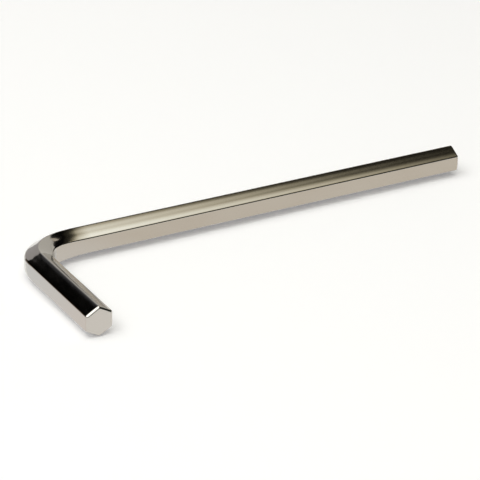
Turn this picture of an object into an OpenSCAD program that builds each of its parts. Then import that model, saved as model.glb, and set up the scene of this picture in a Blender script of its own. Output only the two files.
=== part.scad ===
// Hex key: one bar of hexagonal steel, bent cold into an L and left lying on its side.
// The long arm runs along +X and the short arm towards -Y.
// Two corners of the hexagon point straight up and down, so the bend goes over two flats.
// The origin is below the middle of the key, on the surface that it lies on.

/* [Section] */
// Distance across the flats, which is the socket size that the key turns
across_flats = 4; // [3:0.1:6]
// Rounding of the six corners that run along the bar
corner_radius = 0.2; // [0.1:0.05:0.4]

/* [Arms] */
// Length of the long arm, from its tip to the outer flat of the short arm
long_arm = 75; // [50:1:140]
// Length of the short arm, from its tip to the outer flat of the long arm
short_arm = 25; // [18:0.5:45]
// Rounding of the edges around both tips
tip_edge_radius = 0.4; // [0.1:0.05:0.6]

/* [Bend] */
// Radius of the bend where it is tightest, measured to the middle of the bar
bend_radius = 4.8; // [4:0.1:8]
// Length over which the long arm leads into the bend, before it is as tight as that
lead_in = 7; // [1:0.5:9]
// How gently the lead-in starts; 0 makes the whole bend a plain arc
lead_in_ease = 0.8; // [0:0.05:0.95]
// Height that each edge of the outer flat loses mid-bend, where the steel was stretched
outer_edge_drop = 0.2; // [0:0.02:0.4]
// Depth that the outer flat falls back mid-bend
outer_flat_sink = 0.08; // [0:0.02:0.3]
// Rounding that the two outer corners grow to mid-bend
outer_corner_radius = 0.9; // [0.1:0.05:1.2]
// Height that each edge of the inner flat gains mid-bend, where the steel was squeezed
inner_edge_rise = 0.2; // [0:0.02:0.4]
// Depth that the inner flat swells inwards mid-bend
inner_flat_swell = 0.18; // [0:0.02:0.3]
// Length past each end of the bend over which the section gets its own shape back
bend_run_out = 2; // [0.5:0.1:3]

/* [Hidden] */

// Facets of each rounded corner, of each rounded tip edge, and stations along the bend
corner_steps = 4;
tip_steps = 5;
bend_steps = 36;
// Steps in which the middle line of the bend is summed up
line_steps = 24;

half_flats = across_flats / 2;
side = across_flats / sqrt(3);
half_side = side / 2;
half_corners = side - corner_radius * (2 / sqrt(3) - 1);

// The axes of the two arms cross here
corner_x = half_flats - long_arm / 2;
corner_y = short_arm / 2 - half_flats;

bend_length = bend_radius * PI / 2 + lead_in_ease * lead_in / 2;
formed_length = bend_length + 2 * bend_run_out;

// Angle turned through at a distance s along the bend, which gets tighter all along the lead-in
function heading(s) =
    let (held_back = s < lead_in ? s + lead_in * sin(180 * s / lead_in) / PI : lead_in)
    (s - held_back * lead_in_ease / 2) / bend_radius * 180 / PI;

// Middle of the bar at a distance s along the bend: [way gone along the long arm, way gone across it]
function middle(s, k = 0, sum = [0, 0]) =
    let (a = heading(s * (k + 0.5) / line_steps))
    k == line_steps ? sum * s / line_steps : middle(s, k + 1, sum + [cos(a), sin(a)]);

// Distances from the crossing of the axes to the ends of the bend
reach = middle(bend_length);
long_start = reach[0] + bend_run_out;
short_start = reach[1] + bend_run_out;
long_straight = long_arm - half_flats - long_start;
short_straight = short_arm - half_flats - short_start;

// How far the section is deformed at a distance s along the bend: 0 at its ends, 1 mid-bend
function strain(s) = (1 - cos(360 * (s + bend_run_out) / formed_length)) / 2;

// Corner k of the hexagon points at 30 + 60 * k degrees from the outside of the bend
function corner_rounding(k, w) =
    (k == 0 || k == 5) ? corner_radius + w * (outer_corner_radius - corner_radius) : corner_radius;

// One point of a rounded corner: [outwards from the bend, up]
function corner_point(k, step, w) =
    let (
        r = corner_rounding(k, w),
        centre = side - r * 2 / sqrt(3),
        corner_angle = 30 + 60 * k,
        arc_angle = corner_angle - 30 + 60 * step / corner_steps
    )
    [
        centre * cos(corner_angle) + r * cos(arc_angle),
        centre * sin(corner_angle) + r * sin(arc_angle)
    ];

// The stretched outside gets lower and falls back, and the squeezed inside gets higher and swells
function deformed(p, w) =
    let (
        outward = max(p[0], 0) / half_flats,
        inward = max(-p[0], 0) / half_flats,
        lost = outward * outer_edge_drop / half_side,
        gained = inward * inner_edge_rise / half_side
    )
    [
        p[0] - w * (outward * outer_flat_sink + inward * inner_flat_swell),
        p[1] * (1 + w * (gained - lost))
    ];

// Outline of the bar at strain w, anticlockwise
function section_points(w = 0) =
    [for (k = [0:5], step = [0:corner_steps]) deformed(corner_point(k, step, w), w)];

// The outline carried to its place at a distance s along the bend
function placed_outline(s) =
    let (
        a = heading(s),
        gone = middle(s)
    )
    [for (p = section_points(strain(s)))
        s < 0 ? [reach[0] - s, p[0], p[1]]
        : s > bend_length ? [-p[0], -reach[1] - (s - bend_length), p[1]]
        : [reach[0] - gone[0] - p[0] * sin(a), p[0] * cos(a) - gone[1], p[1]]
    ];

// The bend: sections set along the curve and skinned, with the arms' own outline at both ends
module elbow() {
    count = len(section_points());
    stations = [for (i = [0:bend_steps]) formed_length * i / bend_steps - bend_run_out];
    skin_points = [for (s = stations, p = placed_outline(s)) p];
    first_cap = [for (j = [0:count - 1]) count - 1 - j];
    last_cap = [for (j = [0:count - 1]) bend_steps * count + j];
    skin = [
        for (i = [0:bend_steps - 1], j = [0:count - 1], half = [0, 1])
        let (
            a = i * count + j,
            b = i * count + (j + 1) % count,
            c = b + count,
            d = a + count
        )
        half == 0 ? [a, b, c] : [a, c, d]
    ];
    polyhedron(points = skin_points, faces = concat([first_cap, last_cap], skin), convexity = 4);
}

// Side view of a bar whose end edges are rounded: [along the bar, across the flats]
function rounded_end(length) =
    [for (step = [0:tip_steps])
        let (a = 90 * step / tip_steps)
        [
            length - tip_edge_radius * (1 - cos(a)),
            half_flats - tip_edge_radius * (1 - sin(a))
        ]
    ];

// A straight arm along +X from 0, square at its root and rounded at the edges of its tip
module arm(length) {
    upper = rounded_end(length);
    profile = concat(
        [[0, half_flats]],
        [[0, -half_flats]],
        [for (i = [0:tip_steps]) [upper[tip_steps - i][0], -upper[tip_steps - i][1]]],
        upper
    );
    intersection() {
        rotate([90, 0, 90])
            linear_extrude(length)
                polygon(section_points());
        intersection_for (flat_pair = [0, 60, 120])
            rotate([flat_pair, 0, 0])
                translate([0, 0, -across_flats])
                    linear_extrude(2 * across_flats)
                        polygon(profile);
    }
}

module hex_key() {
    color("silver")
        translate([corner_x, corner_y, half_corners]) {
            elbow();
            translate([long_start, 0, 0])
                arm(long_straight);
            translate([0, -short_start, 0])
                rotate([0, 0, -90])
                    arm(short_straight);
        }
}

hex_key();
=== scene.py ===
"""A bright nickel-plated hex key, lying on a pale table under a softbox with glowing panels around it."""
import math

import bpy
import numpy as np
from mathutils import Matrix, Vector


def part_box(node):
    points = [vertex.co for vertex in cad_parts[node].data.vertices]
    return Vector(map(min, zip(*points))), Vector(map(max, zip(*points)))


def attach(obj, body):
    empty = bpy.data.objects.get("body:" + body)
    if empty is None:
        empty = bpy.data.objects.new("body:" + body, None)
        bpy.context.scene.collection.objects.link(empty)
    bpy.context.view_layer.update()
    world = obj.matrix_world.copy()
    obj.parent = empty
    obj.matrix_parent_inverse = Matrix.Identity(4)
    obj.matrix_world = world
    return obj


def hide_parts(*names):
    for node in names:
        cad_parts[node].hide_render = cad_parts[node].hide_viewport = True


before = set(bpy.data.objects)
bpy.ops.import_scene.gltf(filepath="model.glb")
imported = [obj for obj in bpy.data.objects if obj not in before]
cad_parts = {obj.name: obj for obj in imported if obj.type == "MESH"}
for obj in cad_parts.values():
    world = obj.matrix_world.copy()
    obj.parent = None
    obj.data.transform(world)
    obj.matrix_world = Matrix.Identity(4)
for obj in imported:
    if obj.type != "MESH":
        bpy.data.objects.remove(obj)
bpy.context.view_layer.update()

# Sizes of the key in metres. The overall ones come from the frame, so they follow the solid.
MM = 0.001
BOX_LOW, BOX_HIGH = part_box("hex_key")
LONG_ARM = BOX_HIGH.x - BOX_LOW.x
SHORT_ARM = BOX_HIGH.y - BOX_LOW.y
HALF_CORNERS = (BOX_HIGH.z - BOX_LOW.z) / 2
CORNER_RADIUS = 0.2 * MM
HALF_FLATS = 2.0 * MM
HALF_SIDE = HALF_FLATS / math.sqrt(3)
CROSSING = Vector((BOX_LOW.x + HALF_FLATS, BOX_HIGH.y - HALF_FLATS, BOX_LOW.z + HALF_CORNERS))

BEND_RADIUS = 4.8 * MM
LEAD_IN = 7.0 * MM
LEAD_IN_EASE = 0.8
BEND_RUN_OUT = 2.0 * MM
OUTER_EDGE_DROP = 0.2 * MM
OUTER_FLAT_SINK = 0.08 * MM
OUTER_CORNER_RADIUS = 0.9 * MM
INNER_EDGE_RISE = 0.2 * MM
INNER_FLAT_SWELL = 0.18 * MM
TIP_EDGE_RADIUS = 0.4 * MM

# The flats as drawing leaves them: slightly convex, with shallow waves that run the whole length.
# The waves of each flat are shifted by WAVE_SHIFT radians from those of the one before.
FLAT_CROWN = 0.026 * MM
WAVE_DEPTH = 0.0025 * MM
WAVES_ACROSS = 1.0
WAVE_SHIFT = 0.24

# Mesh density. The rings are shares of a tip face's size, and the approach is how far from a tip's
# rounded edge the last sections of an arm lie.
CORNER_STEPS = 8
FLAT_STEPS = 20
BEND_STEPS = 120
TIP_STEPS = 8
STRAIGHT_STEP = 2.5 * MM
TIP_FACE_RINGS = (0.8, 0.5, 0.2)
TIP_APPROACH = (2.0 * MM, 0.5 * MM, 0.1 * MM, 0.02 * MM)

BEND_LENGTH = BEND_RADIUS * math.pi / 2 + LEAD_IN_EASE * LEAD_IN / 2


def heading(s):
    """Angle turned through at distance s along the bend, which gets tighter all along its lead-in."""
    held_back = np.where(s < LEAD_IN, s + LEAD_IN * np.sin(math.pi * s / LEAD_IN) / math.pi, LEAD_IN)
    return (s - held_back * LEAD_IN_EASE / 2) / BEND_RADIUS


# The middle line of the bend: distances along it, and how far each has come along and across the long arm
LINE_STEPS = 2000
LINE = np.linspace(0, BEND_LENGTH, LINE_STEPS + 1)
LINE_HEADING = heading((LINE[1:] + LINE[:-1]) / 2)
LINE_ALONG = np.append(0, np.cumsum(np.cos(LINE_HEADING))) * BEND_LENGTH / LINE_STEPS
LINE_ACROSS = np.append(0, np.cumsum(np.sin(LINE_HEADING))) * BEND_LENGTH / LINE_STEPS
LONG_REACH, SHORT_REACH = LINE_ALONG[-1], LINE_ACROSS[-1]
LONG_END = -(LONG_ARM - HALF_FLATS - LONG_REACH)
SHORT_END = BEND_LENGTH + SHORT_ARM - HALF_FLATS - SHORT_REACH


def strain(s):
    """How far the section is deformed at distance s past the start of the bend: 0 to 1."""
    share = (s + BEND_RUN_OUT) / (BEND_LENGTH + 2 * BEND_RUN_OUT)
    return (1 - math.cos(2 * math.pi * min(max(share, 0), 1))) / 2


def corner_arc(corner, half_flats, radius):
    """Points of one rounded corner of the hexagon: [outwards from the bend, up]."""
    angle = math.radians(30 + 60 * corner)
    reach = (half_flats - radius) * 2 / math.sqrt(3)
    turn = angle + np.radians(np.linspace(-30, 30, CORNER_STEPS + 1))
    centre = reach * np.array([math.cos(angle), math.sin(angle)])
    return centre + radius * np.stack([np.cos(turn), np.sin(turn)], axis=1)


def section(inset, strained):
    """Outline of the bar, anticlockwise, pulled in by inset, or deformed by the bend."""
    half_flats = HALF_FLATS - inset
    outline = []
    for corner in range(6):
        grown = strained * (OUTER_CORNER_RADIUS - CORNER_RADIUS) if corner in (0, 5) else 0
        outline.append(corner_arc(corner, half_flats, CORNER_RADIUS + grown))
    points = []
    for corner in range(6):
        arc, following = outline[corner], outline[(corner + 1) % 6]
        points.extend(arc)
        for step in range(1, FLAT_STEPS):
            points.append(arc[-1] + (following[0] - arc[-1]) * step / FLAT_STEPS)
    return deformed(drawn(np.array(points)), strained)


def drawn(points):
    """Makes each flat slightly convex and wavy. Its middle stays, and its corners move in by the crown."""
    angle = np.degrees(np.arctan2(points[:, 1], points[:, 0]))
    flat = np.round(angle / 60)
    across = np.tan(np.radians(angle - 60 * flat)) / math.tan(math.radians(30))
    wave = np.cos(2 * math.pi * WAVES_ACROSS * across + WAVE_SHIFT * (flat % 6))
    depth = FLAT_CROWN * across ** 2 + WAVE_DEPTH * (1 - across ** 2) * wave
    return points * (1 - depth / HALF_FLATS)[:, None]


def deformed(points, strained):
    """The stretched outside gets lower and falls back, the squeezed inside gets higher and swells."""
    outward = np.maximum(points[:, 0], 0) / HALF_FLATS
    inward = np.maximum(-points[:, 0], 0) / HALF_FLATS
    lost = outward * OUTER_EDGE_DROP / HALF_SIDE
    gained = inward * INNER_EDGE_RISE / HALF_SIDE
    out = points[:, 0] - strained * (outward * OUTER_FLAT_SINK + inward * INNER_FLAT_SWELL)
    up = points[:, 1] * (1 + strained * (gained - lost))
    return np.stack([out, up], axis=1)


def placed(points, s):
    """Carries section points to distance s along the bar, counted from the start of the bend."""
    out, up = points[:, 0], points[:, 1]
    if s < 0:
        spot = np.stack([LONG_REACH - s + 0 * out, out, up], axis=1)
    elif s > BEND_LENGTH:
        spot = np.stack([-out, -SHORT_REACH - (s - BEND_LENGTH) + 0 * out, up], axis=1)
    else:
        turn = heading(s)
        along, across = np.interp(s, LINE, LINE_ALONG), np.interp(s, LINE, LINE_ACROSS)
        x = LONG_REACH - along - out * math.sin(turn)
        y = out * math.cos(turn) - across
        spot = np.stack([x, y, up], axis=1)
    return spot + np.array(CROSSING)


def stations():
    """Distances along the bar at which a section is set, with how far it is pulled in."""
    rounding = [math.radians(90) * step / TIP_STEPS for step in range(TIP_STEPS + 1)]
    tip = [(TIP_EDGE_RADIUS * (1 - math.cos(a)), TIP_EDGE_RADIUS * (1 - math.sin(a))) for a in rounding]
    long_tip = [(LONG_END + back, inset) for back, inset in tip]
    short_tip = [(SHORT_END - back, inset) for back, inset in reversed(tip)]
    formed = np.linspace(-BEND_RUN_OUT, BEND_LENGTH + BEND_RUN_OUT, BEND_STEPS + 1)
    after_tip = [long_tip[-1][0] + gap for gap in reversed(TIP_APPROACH)]
    before_tip = [short_tip[0][0] - gap for gap in TIP_APPROACH]
    long_side = np.linspace(after_tip[-1], formed[0], round((formed[0] - LONG_END) / STRAIGHT_STEP))
    short_side = np.linspace(formed[-1], before_tip[0], round((SHORT_END - formed[-1]) / STRAIGHT_STEP))
    middle = (*after_tip, *long_side[1:-1], *formed, *short_side[1:-1], *before_tip)
    return long_tip + [(s, 0.0) for s in middle] + short_tip


def slopes(grid, axis, closed):
    """Unit tangents of a grid of points along one axis, weighted for uneven spacing."""
    if closed:
        before, after = np.roll(grid, 1, axis), np.roll(grid, -1, axis)
    else:
        before = np.concatenate([grid[:1], grid[:-1]], axis=0)
        after = np.concatenate([grid[1:], grid[-1:]], axis=0)
    back, ahead = grid - before, after - grid
    back_gap = np.linalg.norm(back, axis=2, keepdims=True)
    ahead_gap = np.linalg.norm(ahead, axis=2, keepdims=True)
    tiny = 1e-12
    tangent = back / np.maximum(back_gap, tiny) * ahead_gap + ahead / np.maximum(ahead_gap, tiny) * back_gap
    if not closed:
        tangent[0], tangent[-1] = ahead[0], back[-1]
    return tangent / np.maximum(np.linalg.norm(tangent, axis=2, keepdims=True), tiny)


def make_key():
    """The whole bar as one skin: sections set along it, closed by a flat face at each tip."""
    rows = stations()
    outlines = [section(inset, strain(s)) for s, inset in rows]
    grid = np.array([placed(outline, s) for outline, (s, _) in zip(outlines, rows)])
    unbent = np.array([
        np.column_stack([outline, np.full(len(outline), s)])
        for outline, (s, _) in zip(outlines, rows)
    ])
    facing = np.cross(slopes(grid, 0, False), slopes(grid, 1, True))
    facing[0], facing[-1] = (1, 0, 0), (0, -1, 0)

    count = grid.shape[1]
    points = list(grid.reshape(-1, 3))
    bar_space = list(unbent.reshape(-1, 3))
    normals = list(facing.reshape(-1, 3))
    faces = []
    for i in range(len(rows) - 1):
        for j in range(count):
            a, b = i * count + j, i * count + (j + 1) % count
            faces.append((a, a + count, b + count, b))
    for ring, order in ((0, 1), (len(rows) - 1, -1)):
        edge = ring * count
        centre, unbent_centre = grid[ring].mean(axis=0), unbent[ring].mean(axis=0)
        for share in TIP_FACE_RINGS:
            start = len(points)
            points.extend(centre + (grid[ring] - centre) * share)
            bar_space.extend(unbent_centre + (unbent[ring] - unbent_centre) * share)
            normals.extend([facing[ring][0]] * count)
            for j in range(count):
                k = (j + 1) % count
                faces.append((edge + j, edge + k, start + k, start + j)[::order])
            edge = start
        points.append(centre)
        bar_space.append(unbent_centre)
        normals.append(facing[ring][0])
        for j in range(count):
            faces.append((edge + j, edge + (j + 1) % count, len(points) - 1)[::order])

    mesh = bpy.data.meshes.new("hex_key_bar")
    mesh.from_pydata([tuple(p) for p in points], [], faces)
    attribute = mesh.attributes.new("bar_space", "FLOAT_VECTOR", "POINT")
    attribute.data.foreach_set("vector", np.array(bar_space, np.float32).ravel())
    mesh.shade_smooth()
    mesh.normals_split_custom_set_from_vertices([tuple(n) for n in normals])
    key = bpy.data.objects.new("key_bar", mesh)
    bpy.context.scene.collection.objects.link(key)
    return key


class Wire:
    """One output socket, usable in arithmetic: each operator adds a Math node."""

    def __init__(self, board, socket):
        self.board, self.socket = board, socket

    def _math(self, operation, *values):
        return self.board.node("ShaderNodeMath", {"operation": operation}, dict(enumerate(values)))

    def __add__(self, other):
        return self._math("ADD", self, other)

    def __radd__(self, other):
        return self._math("ADD", other, self)

    def __sub__(self, other):
        return self._math("SUBTRACT", self, other)

    def __rsub__(self, other):
        return self._math("SUBTRACT", other, self)

    def __mul__(self, other):
        return self._math("MULTIPLY", self, other)

    def __rmul__(self, other):
        return self._math("MULTIPLY", other, self)


class Board:
    """The node tree of one material or world."""

    def __init__(self, owner):
        owner.use_nodes = True
        self.tree = owner.node_tree
        self.tree.nodes.clear()

    def node(self, kind, settings=None, inputs=None, output=0):
        """Adds a node. Its settings come first, then values or wires for its sockets."""
        made = self.tree.nodes.new(kind)
        for name, value in (settings or {}).items():
            if name == "stops":
                self._set_stops(made.color_ramp, value)
            else:
                setattr(made, name, value)
        for name, value in (inputs or {}).items():
            if isinstance(value, Wire):
                self.tree.links.new(value.socket, made.inputs[name])
            else:
                made.inputs[name].default_value = value
        return Wire(self, made.outputs[output]) if len(made.outputs) else made

    @staticmethod
    def _set_stops(ramp, stops):
        while len(ramp.elements) < len(stops):
            ramp.elements.new(1.0)
        for element, (place, colour) in zip(ramp.elements, stops):
            element.position = place
            element.color = (*colour, 1)


NICKEL = (0.56, 0.54, 0.50, 1)
# Lines that drawing leaves: how many to the metre outwards, up and along the bar, and their depth in metres
DRAWN_LINES = (2600, 2600, 14)
DRAWN_LINE_DEPTH = 1.6e-6
GRAIN_SCALE = 900.0
LEAST_ROUGHNESS = 0.06
GRAIN_ROUGHNESS = 0.06


def bright_nickel():
    """Bright nickel over drawn steel: a near mirror with fine lines along the bar."""
    material = bpy.data.materials.new("bright_nickel")
    board = Board(material)
    bar = board.node("ShaderNodeAttribute", {"attribute_name": "bar_space"}, output="Vector")
    lines = board.node("ShaderNodeVectorMath", {"operation": "MULTIPLY"}, {0: bar, 1: DRAWN_LINES})
    drawn_lines = board.node("ShaderNodeTexNoise", {"noise_dimensions": "3D"},
                             {"Vector": lines, "Scale": 1.0, "Detail": 4.0, "Roughness": 0.6})
    grain = board.node("ShaderNodeTexNoise", {"noise_dimensions": "3D"},
                       {"Vector": bar, "Scale": GRAIN_SCALE, "Detail": 3.0, "Roughness": 0.55})
    bump = board.node("ShaderNodeBump", {},
                      {"Strength": 1.0, "Distance": DRAWN_LINE_DEPTH, "Height": drawn_lines})
    roughness = LEAST_ROUGHNESS + GRAIN_ROUGHNESS * grain
    shader = board.node("ShaderNodeBsdfPrincipled", {},
                        {"Base Color": NICKEL, "Metallic": 1.0, "Roughness": roughness, "Normal": bump})
    board.node("ShaderNodeOutputMaterial", {}, {"Surface": shader})
    return material


# The table, the glow that lifts it to white, and the dark room round it. Sizes are in metres.
TABLE_COLOUR = (0.92, 0.92, 0.92, 1)
TABLE_LIFT = (0.175, 0.175, 0.185, 1)
ROOM_SIZE = 8.0
# The walls reach a little below the table
WALL_BOTTOM = -0.01
ROOM_COLOUR = (0.002, 0.002, 0.002, 1)

# The softbox hangs level over the key. Its back edge is square to its azimuth, which is in degrees.
# Its edges are counted in metres from a point above the key.
SOFTBOX_HEIGHT = 0.9
SOFTBOX_AZIMUTH = 50
SOFTBOX_BACK = 0.513
SOFTBOX_FRONT = 1.26
SOFTBOX_LEFT = 0.9
SOFTBOX_RIGHT = 0.745
SOFTBOX_STRENGTH = 2.75
# Glow from the back edge inwards: share of FADE, which is in metres, and colour.
# From the right edge inwards it takes 1 / RIGHT_FADE times as far.
RIGHT_FADE = 0.7
FADE = 0.72
SOFTBOX_GLOW = (
    (0.0, (0.006, 0.0054, 0.0038)),
    (0.100, (0.007, 0.0063, 0.0045)),
    (0.125, (0.011, 0.0099, 0.0069)),
    (0.150, (0.021, 0.0188, 0.0132)),
    (0.175, (0.042, 0.0373, 0.0262)),
    (0.200, (0.073, 0.0655, 0.0463)),
    (0.225, (0.132, 0.119, 0.085)),
    (0.250, (0.212, 0.194, 0.148)),
    (0.281, (0.282, 0.261, 0.206)),
    (0.312, (0.350, 0.333, 0.280)),
    (0.345, (0.41, 0.40, 0.35)),
    (0.375, (0.47, 0.465, 0.42)),
    (0.42, (0.55, 0.55, 0.51)),
    (0.50, (0.69, 0.69, 0.65)),
    (1.0, (1.0, 1.0, 0.98)),
)

# Upright panels round the table, at a distance in metres.
# Each has the azimuth of both ends, the lowest and highest elevation, and the colour that it glows.
PANEL_DISTANCE = 1.5
PANELS = {
    "side_panel": (30, 62, 0, 46.8, (0.64, 0.62, 0.58)),
    "back_panel": (62, 92, 0, 38, (0.44, 0.42, 0.42)),
    "low_back_panel": (92, 103, 0, 32, (0.44, 0.42, 0.42)),
    "ridge_panel": (90, 101.2, 33.5, 44, (0.19, 0.195, 0.205)),
    "dim_panel": (101.2, 102.8, 33.5, 44, (0.04, 0.04, 0.045)),
    "low_panel": (102, 128, 0, 9, (0.16, 0.10, 0.06)),
    "left_panel": (128, 215, 0, 40, (0.28, 0.28, 0.29)),
    "front_panel": (-75, -20, 0, 45, (0.05, 0.05, 0.04)),
    "fill_panel": (-145, -85, 8, 52, (0.60, 0.60, 0.60)),
}
# Slanting lights at the right end of the side panel: azimuth and elevation of the corners, and the colour
SLANTS = {
    "slanting_top": (((35.5, 46), (35.5, 47.2), (27, 51.9), (26, 50.6), (29.8, 46.6)), (0.60, 0.54, 0.46)),
    "slanting_end": (((30, 0), (30, 46.2), (24, 40.5), (19, 36.5), (19, 0)), (0.64, 0.62, 0.58)),
}

# Glowing strips behind the key that paint reflections: points along the table, the lower edge's height in
# mm, and the colour
REFLECTION_STRIP_TOP = 5.5
PAINTED_REFLECTION_STRIPS = {
    "side_card": (((-44, -6), (-44, 22), (-41.5, 27.5)), 0, (0.13, 0.085, 0.055)),
    "back_card": (((-41.5, 27.5), (-36, 31), (-21, 31)), 2.8, (0.42, 0.41, 0.41)),
    "far_card": (((-21, 31), (45, 31)), 0, (0.62, 0.61, 0.59)),
}

# Glowing sheets just clear of the table beside the key that paint its reflections of the table: two corners
# of each in mm
REFLECTION_SHEET_HEIGHT = 0.02 * MM
INNER_REFLECTION_SHEET = ((-34, -12.4), (46, 7.6))
OUTER_REFLECTION_SHEET = ((-60, -12.5), (-38.2, 30))
# The front sheet paints the reflection in the short arm's tip face
FRONT_REFLECTION_SHEET = ((-60, -45), (-20, -12.6))
# The inner sheet paints the reflection in the key's inner sides. It is plain beside the bend. From
# INNER_START on it turns into blotches of two warm colours, over 1 / INNER_RISE metres.
WARM_REFLECTION = (0.88, 0.83, 0.75, 1), (0.80, 0.72, 0.625, 1)
BLOTCH_SCALE = 110.0
BEND_REFLECTION = (0.92, 0.89, 0.87, 1)
INNER_START = -0.034
INNER_RISE = 60
# The outer sheet paints the reflection in the key's outer side: warm beside the tip. From OUTER_START on it
# turns cooler, over 1 / OUTER_RISE metres.
TIP_REFLECTION = (0.93, 0.865, 0.83, 1)
COOL_REFLECTION = (0.885, 0.895, 0.905, 1)
OUTER_START = -0.009
OUTER_RISE = 55
# Colour of the front sheet's painted reflection
FRONT_REFLECTION_COLOUR = (0.998, 0.968, 0.938)


def matt(name, colour):
    material = bpy.data.materials.new(name)
    board = Board(material)
    cover = board.node("ShaderNodeBsdfDiffuse", {}, {"Color": colour})
    board.node("ShaderNodeOutputMaterial", {}, {"Surface": cover})
    return material


def glowing(name, strength, colour):
    """A material that only shines. colour is one colour, or makes one on the material's board."""
    material = bpy.data.materials.new(name)
    board = Board(material)
    shown = colour(board) if callable(colour) else (*colour, 1)
    shine = board.node("ShaderNodeEmission", {}, {"Color": shown, "Strength": strength})
    board.node("ShaderNodeOutputMaterial", {}, {"Surface": shine})
    return material


def white_table():
    """A matt white table, lifted to white where the camera or a reflection sees it."""
    material = bpy.data.materials.new("white_table")
    board = Board(material)
    camera, glossy, through = (
        board.node("ShaderNodeLightPath", output=ray)
        for ray in ("Is Camera Ray", "Is Glossy Ray", "Is Transmission Ray")
    )
    lift = board.node("ShaderNodeMix", {"data_type": "RGBA"},
                      {"Factor": camera + glossy + through, 6: (0, 0, 0, 1), 7: TABLE_LIFT}, output=2)
    cover = board.node("ShaderNodeBsdfDiffuse", {}, {"Color": TABLE_COLOUR})
    shine = board.node("ShaderNodeEmission", {}, {"Color": lift, "Strength": 1.0})
    both = board.node("ShaderNodeAddShader", {}, {0: cover, 1: shine})
    board.node("ShaderNodeOutputMaterial", {}, {"Surface": both})
    return material


def direction(azimuth, elevation):
    """Unit vector: azimuth 0 is +X and 90 is +Y; elevation is above the table."""
    a, e = math.radians(azimuth), math.radians(elevation)
    return Vector((math.cos(a) * math.cos(e), math.sin(a) * math.cos(e), math.sin(e)))


def set_stage(name, corners, faces, material, shown):
    """A part of the studio made of flat faces. Unless it is shown, only the camera doesn't see it."""
    mesh = bpy.data.meshes.new(name)
    mesh.from_pydata(corners, [], faces)
    mesh.materials.append(material)
    made = bpy.data.objects.new(name, mesh)
    made.visible_camera = shown
    bpy.context.scene.collection.objects.link(made)
    return made


def rectangle(length, width):
    x, y = length / 2, width / 2
    return [(-x, -y, 0), (x, -y, 0), (x, y, 0), (-x, y, 0)]


def softbox_cloth(board):
    """Fades towards the back and right edges of the cloth."""
    place = board.node("ShaderNodeTexCoord", {}, output="Object")
    along, across = (board.node("ShaderNodeSeparateXYZ", {}, {0: place}, output=axis) for axis in "XY")
    from_right = (across + SOFTBOX_RIGHT) * RIGHT_FADE
    from_back = SOFTBOX_BACK - along
    inwards = board.node("ShaderNodeMath", {"operation": "MINIMUM"}, {0: from_back, 1: from_right})
    share = inwards * (1 / FADE)
    return board.node("ShaderNodeValToRGB", {"stops": SOFTBOX_GLOW}, {"Fac": share}, output="Color")


def make_softbox():
    corners = [
        (-SOFTBOX_FRONT, -SOFTBOX_RIGHT, 0), (SOFTBOX_BACK, -SOFTBOX_RIGHT, 0),
        (SOFTBOX_BACK, SOFTBOX_LEFT, 0), (-SOFTBOX_FRONT, SOFTBOX_LEFT, 0),
    ]
    cloth = glowing("softbox_cloth", SOFTBOX_STRENGTH, softbox_cloth)
    softbox = set_stage("softbox", corners, [(3, 2, 1, 0)], cloth, False)
    softbox.location = (0, 0, SOFTBOX_HEIGHT)
    softbox.rotation_euler = (0, 0, math.radians(SOFTBOX_AZIMUTH))


def make_room():
    """Dark walls and ceiling round the table, seen only in the key's reflections."""
    floor = rectangle(ROOM_SIZE, ROOM_SIZE)
    corners = [(x, y, z) for z in (WALL_BOTTOM, ROOM_SIZE / 2) for x, y, _ in floor]
    walls = [(0, 1, 5, 4), (1, 2, 6, 5), (2, 3, 7, 6), (3, 0, 4, 7), (4, 5, 6, 7)]
    set_stage("dark_room", corners, walls, matt("dark_wall", ROOM_COLOUR), False)


def make_panel(name, start, end, low, high, colour):
    """An upright glowing panel that spans an angle as seen from the key."""
    first, last = (PANEL_DISTANCE * direction(a, 0) for a in (start, end))
    nearest = PANEL_DISTANCE * math.cos(math.radians(end - start) / 2)
    bottom, top = (Vector((0, 0, nearest * math.tan(math.radians(e)))) for e in (low, high))
    corners = [first + bottom, last + bottom, last + top, first + top]
    set_stage(name, corners, [(0, 1, 2, 3)], glowing(name + "_cloth", 1.0, colour), False)


def make_slants():
    """Glowing lights with slanting edges, as far away as the panels."""
    for name, (outline, colour) in SLANTS.items():
        corners = [PANEL_DISTANCE * direction(azimuth, elevation) for azimuth, elevation in outline]
        face = tuple(range(len(corners)))
        set_stage(name, corners, [face], glowing(name + "_cloth", 1.0, colour), False)


def reflected_only(made):
    """Keeps a part of the studio out of the diffuse light, and stops it from casting a shadow."""
    made.visible_diffuse = False
    made.visible_shadow = False


def fading_reflection_colour(board, axis, start, rise, first, second):
    """Goes from the first colour to the second along one axis of the table."""
    place = board.node("ShaderNodeTexCoord", {}, output="Object")
    along = board.node("ShaderNodeSeparateXYZ", {}, {0: place}, output=axis)
    return board.node("ShaderNodeMix", {"data_type": "RGBA"},
                      {"Factor": (along - start) * rise, 6: first, 7: second}, output=2)


def inner_reflection_colour(board):
    """Painted reflection of soft warm blotches, plainer beside the bend."""
    place = board.node("ShaderNodeTexCoord", {}, output="Object")
    blotches = board.node("ShaderNodeTexNoise", {"noise_dimensions": "3D"},
                          {"Vector": place, "Scale": BLOTCH_SCALE, "Detail": 2.0, "Roughness": 0.5})
    warm = board.node("ShaderNodeMix", {"data_type": "RGBA"},
                      {"Factor": blotches, 6: WARM_REFLECTION[0], 7: WARM_REFLECTION[1]}, output=2)
    return fading_reflection_colour(board, "X", INNER_START, INNER_RISE, BEND_REFLECTION, warm)


def outer_reflection_colour(board):
    """Painted reflection, warmer beside the tip and cooler beside the bend."""
    return fading_reflection_colour(board, "Y", OUTER_START, OUTER_RISE, TIP_REFLECTION, COOL_REFLECTION)


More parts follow.
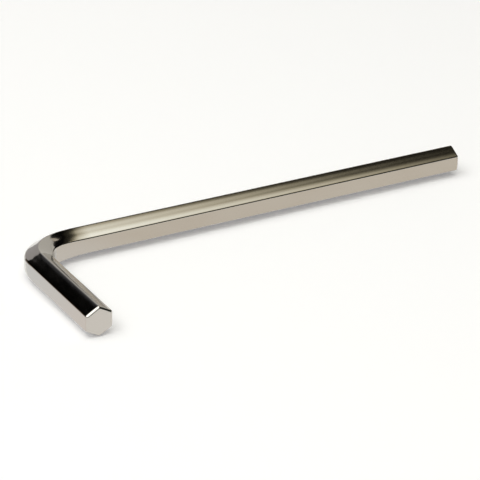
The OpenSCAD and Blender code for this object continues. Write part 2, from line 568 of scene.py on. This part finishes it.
def make_reflection_sheet(name, opposite_corners, colour):
    """A glowing sheet on the table that paints a reflection into the key, from its front left corner to its
    back right one.
    """
    (left, front), (right, back) = (Vector(corner) * MM for corner in opposite_corners)
    outline = (left, front), (right, front), (right, back), (left, back)
    corners = [(x, y, REFLECTION_SHEET_HEIGHT) for x, y in outline]
    reflection_glow = glowing(name + "_paper", 1.0, colour)
    reflected_only(set_stage(name, corners, [(0, 1, 2, 3)], reflection_glow, False))


def make_painted_reflection_strips():
    """Glowing strips behind the key that paint reflections into it. They show only in its reflections and
    cast no shadow.
    """
    for name, (line, bottom, colour) in PAINTED_REFLECTION_STRIPS.items():
        corners = [Vector((x, y, z)) * MM for z in (bottom, REFLECTION_STRIP_TOP) for x, y in line]
        count = len(line)
        faces = [(i, i + 1, i + 1 + count, i + count) for i in range(count - 1)]
        face = glowing(name + "_face", 1.0, colour)
        reflected_only(set_stage(name, corners, faces, face, False))


def make_studio():
    set_stage("table_top", rectangle(ROOM_SIZE, ROOM_SIZE), [(0, 1, 2, 3)], white_table(), True)
    make_softbox()
    make_room()
    make_painted_reflection_strips()
    make_reflection_sheet("inner_sheet", INNER_REFLECTION_SHEET, inner_reflection_colour)
    make_reflection_sheet("outer_sheet", OUTER_REFLECTION_SHEET, outer_reflection_colour)
    make_reflection_sheet("front_sheet", FRONT_REFLECTION_SHEET, FRONT_REFLECTION_COLOUR)
    for name, size in PANELS.items():
        make_panel(name, *size)
    make_slants()
    world = bpy.data.worlds.new("studio")
    bpy.context.scene.world = world
    board = Board(world)
    background = board.node("ShaderNodeBackground", {}, {"Color": (1, 1, 1, 1), "Strength": 1.0})
    board.node("ShaderNodeOutputWorld", {}, {"Surface": background})


# The photograph's view, found from the edges of both arms
CAMERA_TURN = math.radians(31.11)
CAMERA_TILT = math.radians(26.14)
CAMERA_ROLL = math.radians(1.936)
CAMERA_DISTANCE = 0.32632
CAMERA_AIM = Vector((-0.003958, 0.004546, -0.000082))
SENSOR_WIDTH = 36.0
LENS = 168.336
NEAREST_SEEN = 0.01
FARTHEST_SEEN = 20


def make_camera():
    forward = Vector((
        math.sin(CAMERA_TURN) * math.cos(CAMERA_TILT),
        math.cos(CAMERA_TURN) * math.cos(CAMERA_TILT),
        -math.sin(CAMERA_TILT),
    ))
    level = Vector((math.cos(CAMERA_TURN), -math.sin(CAMERA_TURN), 0))
    upright = level.cross(forward)
    right = level * math.cos(CAMERA_ROLL) + upright * math.sin(CAMERA_ROLL)
    up = upright * math.cos(CAMERA_ROLL) - level * math.sin(CAMERA_ROLL)
    data = bpy.data.cameras.new("camera")
    data.sensor_width, data.lens = SENSOR_WIDTH, LENS
    data.clip_start, data.clip_end = NEAREST_SEEN, FARTHEST_SEEN
    camera = bpy.data.objects.new("camera", data)
    turned = Matrix((right, up, -forward)).transposed().to_4x4()
    camera.matrix_world = Matrix.Translation(CAMERA_AIM - forward * CAMERA_DISTANCE) @ turned
    bpy.context.scene.collection.objects.link(camera)
    bpy.context.scene.camera = camera


key = make_key()
key.data.materials.append(bright_nickel())
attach(key, "root")
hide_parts("hex_key")
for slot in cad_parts["hex_key"].material_slots:
    slot.material = key.data.materials[0]
make_studio()
make_camera()
bpy.context.scene.view_settings.view_transform = "Standard"
